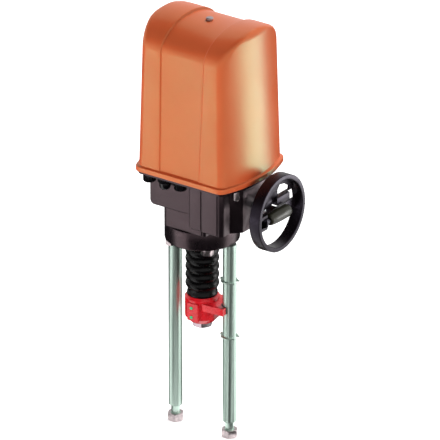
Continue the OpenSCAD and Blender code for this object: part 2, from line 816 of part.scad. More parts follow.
// Outline of one gear, with the play taken off each flank
function gear_points(teeth, m) = let (pitch_r = teeth * m / 2, base_r = pitch_r * cos(pressure),
    tip_r = pitch_r + 0.9 * m, root_r = pitch_r - 1.2 * m, start_r = max(base_r + 0.01, root_r),
    foot = root_r < base_r ? [root_r] : [],
    half = 90 / teeth - play / pitch_r * 90 / PI + involute(base_r, pitch_r),
    flank = [for (i = [0:3]) let (r = start_r + (tip_r - start_r) * i / 3) [r, half - involute(base_r, r)]])
    [for (t = [0:teeth - 1]) let (mid = 360 * t / teeth) each concat(
        [for (r = foot) r * [cos(mid - half), sin(mid - half)]],
        [for (f = flank) f[0] * [cos(mid - f[1]), sin(mid - f[1])]],
        [for (f = reversed(flank)) f[0] * [cos(mid + f[1]), sin(mid + f[1])]],
        [for (r = foot) r * [cos(mid + half), sin(mid + half)]])];

module output_gear() {
    web_r = output_teeth * gear_m * 0.37;
    color("#8b8478") translate([0, 0, gear_z]) difference() {
        linear_extrude(height = gear_w) rotate([0, 0, idler_turn]) polygon(gear_points(output_teeth, gear_m));
        translate([0, 0, -overlap]) cylinder(h = gear_w + 2 * overlap, r = nut_r + running);
        for (t = [30:60:330]) rotate([0, 0, t]) translate([web_r, 0, -overlap])
            cylinder(h = gear_w + 2 * overlap, r = 4.5);
    }
}

module idler_gear() {
    color("#8b8478") translate([idler_at[0], idler_at[1], gear_z]) difference() {
        union() {
            linear_extrude(height = second_z - gear_z + 1) rotate([0, 0, idler_turn + 180 + 180 / pinion_teeth])
                polygon(gear_points(pinion_teeth, gear_m));
            translate([0, 0, second_z - gear_z]) linear_extrude(height = gear_w - 1)
                rotate([0, 0, motor_turn]) polygon(gear_points(idler_teeth, gear_m));
        }
        translate([0, 0, -overlap]) cylinder(h = 3 * gear_w, r = gear_pin_r + running);
    }
}

module idler_pin() {
    color("#b9c0c4") translate([idler_at[0], idler_at[1], 0]) {
        translate([0, 0, tray_z]) cylinder(h = bracket_z + bracket_t - seat - tray_z, r = gear_pin_r);
        translate([0, 0, tray_top + seat]) cylinder(h = gear_z - tray_top - seat - loose, r = 7);
    }
}

module motor_pinion() {
    color("#8b8478") translate([motor_x, 0, second_z]) {
        linear_extrude(height = gear_w) rotate([0, 0, motor_turn + 180 + 180 / pinion_teeth])
            polygon(gear_points(pinion_teeth, gear_m));
        translate([0, 0, gear_w - overlap]) cylinder(h = bracket_z + bracket_t + 8 - second_z - gear_w, r = 4);
    }
}

module motor_bracket() {
    leg_h = bracket_z - tray_top - seat + overlap;
    color("#8f9699") difference() {
        union() {
            translate([motor_x - 30, -38, bracket_z]) cube([60, 76, bracket_t]);
            for (at = [[-27, -34], [27, -34], [27, 34]]) translate([motor_x + at[0], at[1], tray_top + seat])
                cylinder(h = leg_h, r = 3.5);
        }
        translate([motor_x, 0, bracket_z - overlap]) cylinder(h = bracket_t + 2 * overlap, r = 9);
        translate([idler_at[0], idler_at[1], bracket_z - overlap])
            cylinder(h = bracket_t + 2 * overlap, r = gear_pin_r + running);
    }
}

module motor() {
    foot = bracket_z + bracket_t + seat;
    r = motor_d / 2;
    bell = 8;
    color("#5c6064") translate([motor_x, 0, foot]) difference() {
        rotate_extrude() polygon([[0, 0], [r - 4, 0], [r - 4, bell], [r, bell], [r, motor_h - bell],
            [r - 4, motor_h - bell], [r - bell, motor_h], [0, motor_h]]);
        translate([0, 0, -overlap]) cylinder(h = 14, r = 4 + running);
        for (t = [0:30:330]) rotate([0, 0, t]) translate([r - 1.5, -1.5, 12]) cube([4, 3, motor_h - 24]);
    }
}

// Bevel gears

// Tooth that narrows towards the apex at the origin; r is its pitch radius at height h
module bevel_tooth(r, h) {
    sunk = bevel_root + 0.8;
    half = PI * bevel_m / 4 * 0.86;
    lean = tan(pressure - 3);
    corner = function (s, side, d, w) s * [r + d * h / cone_l, side * w, h - d * r / cone_l];
    root_w = half + sunk * lean * 0.75;
    tip_w = half - bevel_tip * lean;
    points = [for (s = [0.98, bevel_inner + 0.02]) each [corner(s, -1, -sunk, root_w), corner(s, 1, -sunk, root_w),
        corner(s, 1, bevel_tip, tip_w), corner(s, -1, bevel_tip, tip_w)]];
    polyhedron(points = points, faces = [[0, 1, 2, 3], [7, 6, 5, 4], [4, 5, 1, 0], [5, 6, 2, 1], [6, 7, 3, 2],
        [7, 4, 0, 3]]);
}

// Profile of the cone that carries the teeth
module bevel_body(r, h, back) {
    foot = [r - bevel_root * h / cone_l, h + bevel_root * r / cone_l];
    polygon([[0, foot[1] * bevel_inner], foot * bevel_inner, foot, [foot[0], foot[1] + back], [0, foot[1] + back]]);
}

module crown_gear() {
    color("#8b8478") translate([0, 0, wheel_z]) mirror([0, 0, 1]) difference() {
        union() {
            rotate_extrude() bevel_body(crown_r, bevel_r, 3);
            for (t = [0:crown_teeth - 1]) rotate([0, 0, 360 * t / crown_teeth]) bevel_tooth(crown_r, bevel_r);
        }
        translate([0, 0, -overlap]) cylinder(h = crown_r, r = nut_r + running);
    }
}

module bevel_pinion() {
    color("#8b8478") along_shaft() difference() {
        union() {
            rotate_extrude() bevel_body(bevel_r, crown_r, bevel_hub);
            for (t = [0:bevel_teeth - 1]) rotate([0, 0, 360 * (t + 0.5) / bevel_teeth])
                bevel_tooth(bevel_r, crown_r);
        }
        translate([0, 0, crown_r * bevel_inner - overlap]) cylinder(h = crown_r, r = journal_r + running);
    }
}

// Wheel shaft with its bush and seal

module wheel_shaft() {
    nose = crown_r * bevel_inner;
    color("#d8dcdc") along_shaft() difference() {
        union() {
            translate([0, 0, nose]) cylinder(h = bevel_back + overlap - nose, r = journal_r);
            translate([0, 0, bevel_back + seat]) cylinder(h = shaft_end - bevel_back - seat, r = shaft_d / 2);
        }
        translate([0, 0, shaft_end - 14]) cylinder(h = 14 + overlap, r = wheel_screw_r + running);
    }
}

module shaft_bushes() {
    color("#b08d4a") along_shaft() {
        ring(front_x - body_wall + 1, 9, bush_bore_r - running, shaft_d / 2 + running);
    }
}

module shaft_seal() {
    color("#1c1c1e") along_shaft() ring(block_x - 7, 6, bush_bore_r - running, shaft_d / 2 + running);
}

// Handwheel: turned rim and hub, a bar across, an upper plate with a window and a raised pad, and two ears
// for the crank

module wheel_face(z0) {
    translate([z0, 0, wheel_z]) rotate([90, 0, 90]) children();
}

module handwheel() {
    pad_face = web_face + 6.5;
    channel_y = grip_d / 2 + 1;
    pad_top = 24;
    ear_z = knuckle_r + seat;
    color("#2e292d") difference() {
        union() {
            along_shaft() rotate_extrude($fn = 96) polygon([[rim_r - rim_t, rim_back], [rim_r - 1.5, rim_back],
                [rim_r, rim_back + 1.5], [rim_r, wheel_x - 0.8], [rim_r - 0.8, wheel_x],
                [rim_r - rim_t + 0.8, wheel_x], [rim_r - rim_t, wheel_x - 0.8]]);
            along_shaft() translate([0, 0, rim_back - hub_back])
                cylinder(h = web_face - rim_back + hub_back, r = hub_r);
            intersection() {
                along_shaft() translate([0, 0, rim_back]) cylinder(h = rim_w, r = rim_r - rim_t + 1);
                union() {
                    wheel_face(web_x) linear_extrude(height = web_t)
                        translate([-rim_r, -12]) square([2 * rim_r, 16]);
                    wheel_face(web_x) linear_extrude(height = web_t)
                        polygon([[-rim_r, 12], [-17, 12], [-2, 15.5], [-2, channel_y], [32, channel_y],
                            [32, 22], [rim_r, 22], [rim_r, rim_r], [-rim_r, rim_r]]);
                    translate([web_x, -2, wheel_z + channel_y]) cube([pad_face - web_x, 34, pad_top - channel_y]);
                    for (foot = [ear_z, -ear_z - ear_h])
                        translate([web_x, -crank_y - 14, wheel_z + foot]) cube([rim_w, 18, ear_h]);
                }
            }
        }
        wheel_face(web_x - overlap) linear_extrude(height = web_t + 2 * overlap)
            polygon([[8, pad_top], [8, 34], [14, 41], [28, 38], [41, 29], [40, pad_top]]);
        translate([wheel_x, -rim_r, wheel_z - rim_r]) cube(2 * rim_r);
        along_shaft() translate([0, 0, rim_back - hub_back - overlap])
            cylinder(h = shaft_end - rim_back + hub_back + overlap + seat, r = shaft_d / 2 + running);
        along_shaft() translate([0, 0, rim_back]) cylinder(h = rim_w, r = wheel_screw_r + loose);
        along_shaft() translate([0, 0, web_face - screw_recess]) cylinder(h = rim_w, r = 5.5);
        translate([grip_x, -crank_y, wheel_z - 3 * knuckle_r]) cylinder(h = 6 * knuckle_r, r = pin_r + running);
    }
}

module wheel_screw() {
    head_x = web_face - screw_recess + seat;
    color("#c9d6d0") along_shaft() {
        translate([0, 0, head_x]) cylinder(h = 2.8, r = 4.5);
        translate([0, 0, shaft_end - 12]) cylinder(h = head_x - shaft_end + 13, r = wheel_screw_r);
    }
}

// Folding crank: pin through the ears, arm with its rod, and grip turning on the rod

module crank_pin() {
    color("#c9d6d0") translate([grip_x, -crank_y, wheel_z - knuckle_r - ear_h])
        cylinder(h = 2 * (knuckle_r + ear_h), r = pin_r);
}

module crank_arm() {
    color("#8d9498") translate([grip_x, -crank_y, wheel_z]) difference() {
        union() {
            translate([0, 0, -knuckle_r]) cylinder(h = 2 * knuckle_r, r = knuckle_r - 1);
            rotate([-90, 0, 0]) cylinder(h = grip_start + grip_len - 4, r = rod_r);
            rotate([-90, 0, 0]) cylinder(h = grip_start - seat, r = knuckle_r - 1);
        }
        translate([0, 0, -2 * knuckle_r]) cylinder(h = 4 * knuckle_r, r = pin_r + running);
    }
}

module crank_grip() {
    r = grip_d / 2;
    bore = rod_r + running;
    end = grip_len - 3.5;
    color("#4d4d3a") translate([grip_x, -crank_y + grip_start, wheel_z]) rotate([-90, 0, 0]) rotate_extrude()
        polygon([[bore, seat], [r - 3.5, seat], [r - 2, 2], [r - 0.8, 10], [r, grip_len / 2], [r, grip_len - 7],
            [r - 1, grip_len - 3.5], [r - 3, grip_len - 1.2], [r - 6, grip_len], [0, grip_len], [0, end],
            [bore, end]]);
}

// Travel switches: an arm on the spindle's collar meets a switch at each end of the travel

module trip_collar() {
    color("#b9bdc0") difference() {
        translate([0, 0, collar_z]) {
            cylinder(h = trip_h, r = stem_d / 2 + 4);
            translate([rail_x + 10, -4, 0]) cube([-rail_x - 10, 8, trip_h]);
        }
        translate([0, 0, collar_z - overlap]) cylinder(h = trip_h + 2 * overlap, r = stem_d / 2 + running);
    }
}

module switch_rail() {
    color("#8f9699") translate([rail_x - 6, rail_y, tray_top + seat])
        cube([6, 12, collar_z + trip_h + stroke / 2 + switch_h + 6 - tray_top]);
}

module limit_switches() {
    free = 1;
    color("#33302e") for (z = [collar_z - stroke / 2 - free - switch_h, collar_z + trip_h + stroke / 2 + free])
        translate([rail_x + seat, rail_y, z]) cube([18, 20, switch_h]);
}

// Electrical parts on the tray

module board_pillars() {
    color("#b9bdc0") for (side = [-1, 1]) translate([board_x + post_r + seat, side * (board_y - 8), tray_top + seat])
        cylinder(h = 190, r = post_r);
}

module circuit_board() {
    board_t = 2;
    color("#2f6b3c") translate([board_x - board_t, -board_y, tray_top + 12]) cube([board_t, 2 * board_y, 170]);
    color("#33302e") for (z = [30, 75, 120], y = [-36, 0, 32]) translate([board_x - 12, y - 10, tray_top + z])
        cube([12 - board_t + overlap, 20, 26]);
}

module capacitor() {
    color("#c8ccd0") translate([-32, 59, tray_top + seat]) cylinder(h = 75, r = 13);
}

module terminal_block() {
    ways = 9;
    pitch = 8;
    color("#3f5a44") translate([-46, -69, tray_top + seat]) difference() {
        cube([ways * pitch + 2, 15, 22]);
        for (i = [0:ways - 1]) translate([2.5 + i * pitch, -overlap, 9]) cube([5, 6, 16]);
    }
}

flange_plate();
gear_housing();
rear_pillar();
front_pillar();
pillar_nuts();
flange_bolts();
base_tray();
tray_screws();
cover();
hood_plug();
cover_seal();
cover_screws();
cover_lugs();
gland_body();
gland_dome_nut();
blanking_plugs();
upper_travel_clip();
lower_travel_clip();
guide_bush();
bellows_collar();
bellows();
spindle();
stem_coupling();
coupling_screws();
slide_insert();
stem_adapter();
trip_collar();
spindle_nut();
crown_gear();
output_gear();
retaining_ring();
lower_bearing();
upper_bearing();
wheel_shaft();
bevel_pinion();
shaft_bushes();
shaft_seal();
handwheel();
wheel_screw();
crank_pin();
crank_arm();
crank_grip();
motor();
motor_bracket();
motor_pinion();
idler_gear();
idler_pin();
switch_rail();
limit_switches();
circuit_board();
board_pillars();
capacitor();
terminal_block();
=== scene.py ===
"""Looks of the linear valve actuator: its finishes, the pieces modelled over the CAD frame, and the stage."""

import json
import math

import bpy
from bpy.props import FloatProperty, FloatVectorProperty, IntProperty, PointerProperty
from mathutils import Matrix, Vector


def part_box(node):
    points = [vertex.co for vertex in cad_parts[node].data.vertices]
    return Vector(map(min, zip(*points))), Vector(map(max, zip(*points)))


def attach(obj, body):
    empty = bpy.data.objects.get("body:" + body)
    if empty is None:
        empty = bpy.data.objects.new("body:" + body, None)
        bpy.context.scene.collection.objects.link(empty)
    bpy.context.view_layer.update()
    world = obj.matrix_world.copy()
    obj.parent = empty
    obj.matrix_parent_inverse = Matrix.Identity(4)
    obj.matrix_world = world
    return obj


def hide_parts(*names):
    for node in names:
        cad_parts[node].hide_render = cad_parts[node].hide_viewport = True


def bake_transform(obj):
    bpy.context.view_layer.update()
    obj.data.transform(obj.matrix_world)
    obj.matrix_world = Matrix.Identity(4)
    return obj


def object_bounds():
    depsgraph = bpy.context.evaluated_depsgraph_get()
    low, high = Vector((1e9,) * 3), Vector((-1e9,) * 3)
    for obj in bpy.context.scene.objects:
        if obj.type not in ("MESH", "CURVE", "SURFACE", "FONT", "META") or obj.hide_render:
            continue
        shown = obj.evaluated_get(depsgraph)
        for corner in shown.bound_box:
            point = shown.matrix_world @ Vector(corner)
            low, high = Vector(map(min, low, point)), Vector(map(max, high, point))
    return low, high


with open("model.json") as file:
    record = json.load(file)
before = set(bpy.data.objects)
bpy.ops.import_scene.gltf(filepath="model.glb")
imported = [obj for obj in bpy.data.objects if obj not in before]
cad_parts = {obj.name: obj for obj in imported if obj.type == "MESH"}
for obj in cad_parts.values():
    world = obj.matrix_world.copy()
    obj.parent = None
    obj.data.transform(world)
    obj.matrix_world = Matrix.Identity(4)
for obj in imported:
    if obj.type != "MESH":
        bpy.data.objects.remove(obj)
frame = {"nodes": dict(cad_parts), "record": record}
CAD_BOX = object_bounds()

bl_info = {
    "name": "Linear valve actuator",
    "version": (1, 0, 0),
    "blender": (4, 5, 0),
    "location": "3D View > Sidebar > Valve Actuator",
    "description": "Finishes, detail pieces and stage for a linear valve actuator",
    "category": "Object",
}

MM = 0.001

# Points of a CAD mesh that are nearer than this are one point
MERGE_GAP = 0.002 * MM
# Faces that turn less than this against each other are one flat face
FLAT_ANGLE = math.radians(0.4)
# Edges that turn less than this are shaded smooth, on all pieces and on the soft folds of the bellows
SMOOTH_ANGLE = math.radians(35)
FOLD_SMOOTH_ANGLE = math.radians(60)

# The belt's rear edge: where each line of its points lies along the hood, and how far it moves
BELT_EDGE_SHIFTS = ((-26 * MM, 1.5 * MM), (-22 * MM, -1.5 * MM))

# The photograph's view
AZIMUTH = math.radians(35.5)
ELEVATION = math.radians(24.5)
PHOTO_PIXELS = 440
PIXEL_SIZE = 1.6 * MM


# Colours

def linear(hex_colour):
    """Linear red, green and blue of an sRGB hex colour."""
    channels = [int(hex_colour[i:i + 2], 16) / 255 for i in (1, 3, 5)]
    return tuple(c / 12.92 if c <= 0.04045 else ((c + 0.055) / 1.055) ** 2.4 for c in channels)


def lighter(colour, times):
    """A linear colour made lighter by a factor."""
    return tuple(channel * times for channel in colour)


# Settings that a user would change

class HoodSettings(bpy.types.PropertyGroup):
    colour: FloatVectorProperty(name="Hood colour", description="Main orange of the hood",
                                subtype="COLOR", size=3, min=0, max=1, default=linear("#DC6238"))
    shade: FloatVectorProperty(name="Hood shade", description="Darker orange that the hood's colour drifts to",
                               subtype="COLOR", size=3, min=0, max=1, default=linear("#D65C34"))
    edge: FloatProperty(name="Edge rounding", description="Rounding of the hood's sharp edges",
                        unit="LENGTH", default=0.9 * MM, min=0.2 * MM, max=1.5 * MM)


class CastingSettings(bpy.types.PropertyGroup):
    colour: FloatVectorProperty(name="Casting colour", description="Black enamel of the castings and the handwheel",
                                subtype="COLOR", size=3, min=0, max=1, default=linear("#0E0A0D"))
    edge: FloatProperty(name="Edge rounding", description="Rounding of the castings' edges",
                        unit="LENGTH", default=0.8 * MM, min=0.2 * MM, max=1.5 * MM)


class BellowsSettings(bpy.types.PropertyGroup):
    folds: IntProperty(name="Folds", description="Number of folds of the bellows", default=6, min=4, max=8)
    crest: FloatProperty(name="Crest radius", description="Radius over the crests",
                         unit="LENGTH", default=27 * MM, min=25 * MM, max=28 * MM)
    valley: FloatProperty(name="Valley radius", description="Radius in the valleys",
                          unit="LENGTH", default=23.4 * MM, min=22.5 * MM, max=25 * MM)
    cuff: FloatProperty(name="Cuff radius", description="Radius of the lower cuff's band",
                        unit="LENGTH", default=24.5 * MM, min=23.5 * MM, max=25 * MM)
    wall: FloatProperty(name="Wall", description="Thickness of the rubber",
                        unit="LENGTH", default=1.4 * MM, min=1 * MM, max=2 * MM)


class StageSettings(bpy.types.PropertyGroup):
    key: FloatProperty(name="Key light", description="Power of the large soft light on the left", default=53, min=0)
    strip: FloatProperty(name="Strip light", description="Power of the upright soft light on the right", default=36,
                         min=0)
    edge: FloatProperty(name="Edge light", description="Power of the small light that shows only in the hood's gloss",
                        default=1.3, min=0)
    back: FloatProperty(name="Back light", description="Power of the large soft light above the back", default=80,
                        min=0)
    ambient: FloatProperty(name="Ambient", description="Strength of the even light from all round", default=0.25,
                           min=0)


# Materials

def add_node(tree, kind, settings=None, links=None):
    """Adds one node, fills its properties and sockets, and links outputs to its inputs."""
    node = tree.nodes.new(kind)
    for key, value in (settings or {}).items():
        if isinstance(key, str) and hasattr(node, key):
            setattr(node, key, value)
        else:
            node.inputs[key].default_value = value
    for key, output in (links or {}).items():
        tree.links.new(output, node.inputs[key])
    return node


def empty_tree(block):
    """Turns on the nodes of a material or world and clears them."""
    block.use_nodes = True
    block.node_tree.nodes.clear()
    return block.node_tree


def start_material(name):
    """A material with only a Principled shader: its tree, the shader and the Object coordinates."""
    material = bpy.data.materials.new(name)
    tree = empty_tree(material)
    shader = add_node(tree, "ShaderNodeBsdfPrincipled")
    add_node(tree, "ShaderNodeOutputMaterial", links={"Surface": shader.outputs["BSDF"]})
    place = add_node(tree, "ShaderNodeTexCoord").outputs["Object"]
    return material, tree, shader, place


def patches(tree, place, size, stretch, detail):
    """Noise between 0 and 1 in patches of the given size in metres."""
    spot = add_node(tree, "ShaderNodeMapping", {"Scale": stretch}, {"Vector": place}).outputs["Vector"]
    noise = add_node(tree, "ShaderNodeTexNoise", {"Scale": 1 / size, "Detail": detail}, {"Vector": spot})
    return noise.outputs["Fac"]


def mottle(tree, place, shader, colours, size, stretch=(1, 1, 1)):
    """Base colour that drifts between two colours in patches of the given size."""
    ramp = add_node(tree, "ShaderNodeValToRGB", links={"Fac": patches(tree, place, size, stretch, detail=3)})
    for element, position, colour in zip(ramp.color_ramp.elements, (0.35, 0.65), colours):
        element.position = position
        element.color = (*colour, 1)
    tree.links.new(ramp.outputs["Color"], shader.inputs["Base Color"])


def uneven_gloss(tree, place, shader, low, high, size, stretch=(1, 1, 1)):
    """Roughness that drifts between low and high in patches of the given size."""
    spread = add_node(tree, "ShaderNodeMapRange", {"From Min": 0.3, "From Max": 0.7, "To Min": low, "To Max": high},
                      {"Value": patches(tree, place, size, stretch, detail=4)})
    tree.links.new(spread.outputs["Result"], shader.inputs["Roughness"])


def relief(tree, place, shader, size, height, stretch=(1, 1, 1), detail=2):
    """Small bumps of the given size and height in metres."""
    bump = add_node(tree, "ShaderNodeBump", {"Strength": 1, "Distance": height},
                    {"Height": patches(tree, place, size, stretch, detail)})
    tree.links.new(bump.outputs["Normal"], shader.inputs["Normal"])


def hood_lacquer(settings):
    # Polyester lacquer on a moulded hood: an even semi-gloss orange with the faint orange peel of sprayed paint.
    # Its index and the tint of its gloss are matched to the cream highlight of the photograph.
    material, tree, shader, place = start_material("orange_lacquer")
    mottle(tree, place, shader, (tuple(settings.colour), tuple(settings.shade)), size=90 * MM)
    uneven_gloss(tree, place, shader, low=0.28, high=0.34, size=40 * MM)
    relief(tree, place, shader, size=2.2 * MM, height=0.02 * MM)
    shader.inputs["IOR"].default_value = 1.8
    shader.inputs["Specular Tint"].default_value = (0.18, 1, 0.48, 1)
    return material


def casting_enamel(settings, name="black_casting_enamel", low=0.3, high=0.38):
    # Black enamel on cast metal: a semi-gloss that follows the grainy casting, smoother where it was turned first.
    # Its index and the rose tint of its gloss are matched to the photograph.
    material, tree, shader, place = start_material(name)
    mottle(tree, place, shader, (tuple(settings.colour), lighter(settings.colour, 1.5)), size=30 * MM)
    uneven_gloss(tree, place, shader, low, high, size=12 * MM)
    relief(tree, place, shader, size=1.6 * MM, height=0.03 * MM, detail=4)
    shader.inputs["IOR"].default_value = 1.68
    shader.inputs["Specular Tint"].default_value = (1, 0.7, 0.76, 1)
    return material


def wheel_enamel(settings):
    # The same enamel on the handwheel, rubbed smoother by hands, with a darker gloss than the castings have
    material, tree, shader, place = start_material("black_wheel_enamel")
    mottle(tree, place, shader, (tuple(settings.colour), lighter(settings.colour, 1.4)), size=25 * MM)
    uneven_gloss(tree, place, shader, low=0.26, high=0.34, size=14 * MM)
    relief(tree, place, shader, size=1.8 * MM, height=0.03 * MM, detail=3)
    shader.inputs["IOR"].default_value = 1.35
    shader.inputs["Specular Tint"].default_value = (0.83, 0.7, 1, 1)
    return material


def drawn_steel():
    # Cold-drawn bar, zinc plated with a green passivation: fine streaks along the bar
    material, tree, shader, place = start_material("green_zinc_plated_bar")
    mottle(tree, place, shader, (linear("#D2E6DB"), linear("#C2D8CC")), size=3 * MM, stretch=(1, 1, 0.03))
    uneven_gloss(tree, place, shader, low=0.38, high=0.48, size=2 * MM, stretch=(1, 1, 0.02))
    relief(tree, place, shader, size=0.9 * MM, height=0.004 * MM, stretch=(1, 1, 0.01))
    shader.inputs["Metallic"].default_value = 1
    return material


def zinc_plate(name="zinc_plated_steel", light="#CDBFC0", dark="#AFA4A6"):
    # Zinc plating on turned and pressed steel: a soft metallic sheen with cloudy patches
    material, tree, shader, place = start_material(name)
    mottle(tree, place, shader, (linear(light), linear(dark)), size=5 * MM)
    uneven_gloss(tree, place, shader, low=0.28, high=0.42, size=3 * MM)
    relief(tree, place, shader, size=0.5 * MM, height=0.012 * MM)
    shader.inputs["Metallic"].default_value = 1
    return material


def turned_steel(name="turned_steel", light="#C9CDD0", dark="#ADB2B6"):
    # Turned and ground steel: fine rings round the axis that catch the light
    material, tree, shader, place = start_material(name)
    mottle(tree, place, shader, (linear(light), linear(dark)), size=1.2 * MM, stretch=(0.03, 0.03, 1))
    uneven_gloss(tree, place, shader, low=0.18, high=0.30, size=1 * MM, stretch=(0.03, 0.03, 1))
    relief(tree, place, shader, size=0.5 * MM, height=0.008 * MM, stretch=(0.02, 0.02, 1))
    shader.inputs["Metallic"].default_value = 1
    return material


def gear_steel():
    # Hobbed gear steel under a film of grease: dark, with soft patches where the grease lies thicker
    material, tree, shader, place = start_material("greased_gear_steel")
    mottle(tree, place, shader, (linear("#8A857E"), linear("#6E6458")), size=6 * MM)
    uneven_gloss(tree, place, shader, low=0.22, high=0.42, size=4 * MM)
    relief(tree, place, shader, size=0.8 * MM, height=0.01 * MM)
    shader.inputs["Metallic"].default_value = 1
    return material


def bearing_bronze():
    # Cast and turned bronze: warm metal with dull brown patches
    material, tree, shader, place = start_material("turned_bronze")
    mottle(tree, place, shader, (linear("#C29A55"), linear("#9C7438")), size=4 * MM)
    uneven_gloss(tree, place, shader, low=0.26, high=0.40, size=3 * MM)
    relief(tree, place, shader, size=0.6 * MM, height=0.01 * MM, stretch=(0.03, 0.03, 1))
    shader.inputs["Metallic"].default_value = 1
    return material


def coupling_lacquer():
    # Signal red lacquer on a cast coupling: a thin clear gloss over a slightly uneven casting
    material, tree, shader, place = start_material("red_lacquer")
    mottle(tree, place, shader, (linear("#DC1A26"), linear("#CB1420")), size=14 * MM)
    uneven_gloss(tree, place, shader, low=0.20, high=0.32, size=8 * MM)
    relief(tree, place, shader, size=3 * MM, height=0.05 * MM)
    shader.inputs["IOR"].default_value = 1.5
    shader.inputs["Coat Weight"].default_value = 0.15
    shader.inputs["Coat Roughness"].default_value = 0.15
    return material


def marking_paint():
    # Green sealing paint brushed over the set screws: thick, with brush ridges
    material, tree, shader, place = start_material("green_sealing_paint")
    mottle(tree, place, shader, (linear("#5BE3A9"), linear("#3CC98C")), size=1.5 * MM)
    uneven_gloss(tree, place, shader, low=0.3, high=0.5, size=1 * MM)
    relief(tree, place, shader, size=0.8 * MM, height=0.08 * MM)
    return material


def bellows_rubber():
    # Moulded chloroprene rubber: near black, with a soft gloss on the folds that a low index keeps dark
    material, tree, shader, place = start_material("chloroprene_rubber")
    mottle(tree, place, shader, (linear("#030203"), linear("#060506")), size=6 * MM)
    uneven_gloss(tree, place, shader, low=0.24, high=0.36, size=4 * MM)
    relief(tree, place, shader, size=0.7 * MM, height=0.02 * MM)
    shader.inputs["IOR"].default_value = 1.29
    return material


def moulded_polyamide(name, light, dark, low=0.34, high=0.48):
    # Moulded polyamide: the fine spark-eroded grain of its mould
    material, tree, shader, place = start_material(name)
    mottle(tree, place, shader, (linear(light), linear(dark)), size=8 * MM)
    uneven_gloss(tree, place, shader, low, high, size=3 * MM)
    relief(tree, place, shader, size=0.45 * MM, height=0.015 * MM, detail=4)
    return material


def motor_enamel():
    # Grey stoving enamel on the motor's pressed housing: an even satin
    material, tree, shader, place = start_material("grey_stoving_enamel")
    mottle(tree, place, shader, (linear("#6A6E72"), linear("#5B5F63")), size=20 * MM)
    uneven_gloss(tree, place, shader, low=0.35, high=0.5, size=8 * MM)
    relief(tree, place, shader, size=1.2 * MM, height=0.02 * MM)
    return material


def board_laminate():
    # Glass-fibre laminate under green solder mask: a soft gloss, uneven where the glass shows through
    material, tree, shader, place = start_material("green_board_laminate")
    mottle(tree, place, shader, (linear("#2E6B45"), linear("#245737")), size=2 * MM)
    uneven_gloss(tree, place, shader, low=0.25, high=0.4, size=2 * MM)
    relief(tree, place, shader, size=0.6 * MM, height=0.01 * MM)
    return material


# Mesh helpers

def only(obj):
    """Makes obj the one selected and active object."""
    bpy.ops.object.select_all(action="DESELECT")
    obj.select_set(True)
    bpy.context.view_layer.objects.active = obj


def apply_all(obj):
    """Applies every modifier of obj in order."""
    only(obj)
    for modifier in list(obj.modifiers):
        bpy.ops.object.modifier_apply(modifier=modifier.name)


def settle(obj):
    """Puts obj's place, turn and scale into its mesh."""
    only(obj)
    bpy.ops.object.transform_apply(location=True, rotation=True, scale=True)


def edit_chosen(obj, kind, wanted):
    """Puts the active obj in edit mode with just its wanted points (VERT) or faces (FACE) selected."""
    bpy.ops.object.mode_set(mode="EDIT")
    bpy.ops.mesh.select_mode(type=kind)
    bpy.ops.mesh.select_all(action="DESELECT")
    bpy.ops.object.mode_set(mode="OBJECT")
    for element in obj.data.vertices if kind == "VERT" else obj.data.polygons:
        element.select = wanted(element)
    bpy.ops.object.mode_set(mode="EDIT")


def give(obj, material):
    """Gives obj one material."""
    obj.data.materials.clear()
    obj.data.materials.append(material)
    for polygon in obj.data.polygons:
        polygon.material_index = 0


def dress(obj, name, node, material):
    """Names a finished piece, gives it its material, and lets it stand for a CAD node on that node's body."""
    obj.name = name
    give(obj, material)
    record = frame["record"]
    body = next(b for b, nodes in record["behaviour"]["bodies"].items() if node in nodes)
    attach(obj, body)
    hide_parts(node)


def joined_copy(node):
    """A copy of a CAD node's mesh with its loose triangles merged and its flat faces made whole."""
    copy = bpy.data.objects.new(node + "_copy", frame["nodes"][node].data.copy())
    bpy.context.scene.collection.objects.link(copy)
    only(copy)
    bpy.ops.object.mode_set(mode="EDIT")
    bpy.ops.mesh.select_all(action="SELECT")
    bpy.ops.mesh.remove_doubles(threshold=MERGE_GAP)
    bpy.ops.mesh.dissolve_limited(angle_limit=FLAT_ANGLE)
    bpy.ops.object.mode_set(mode="OBJECT")
    return copy


def raise_flats(obj, direction, least_area=200 * MM * MM, rim=1.7 * MM, rise=1.3 * MM):
    """Raises obj's large flat faces that look in a direction, and leaves a narrow slope round each of them."""
    nearly_same = 0.99
    edit_chosen(obj, "FACE", lambda face: face.area > least_area and face.normal.dot(direction) > nearly_same)
    bpy.ops.mesh.inset(thickness=rim, depth=rise, use_individual=True)
    bpy.ops.object.mode_set(mode="OBJECT")


def rounded_copy(node, name, material, edge=0.0, angle=28, segments=2, copy=None):
    """Rounds the sharp edges of a merged copy of a CAD node, shades its curves smooth, and dresses it."""
    copy = copy or joined_copy(node)
    if edge:
        bevel = copy.modifiers.new("edge", "BEVEL")
        bevel.width = edge
        bevel.segments = segments
        bevel.limit_method = "ANGLE"
        bevel.angle_limit = math.radians(angle)
        bevel.use_clamp_overlap = True
        bevel.harden_normals = False
        apply_all(copy)
    only(copy)
    bpy.ops.object.shade_smooth_by_angle(angle=SMOOTH_ANGLE)
    dress(copy, name, node, material)


# Operators

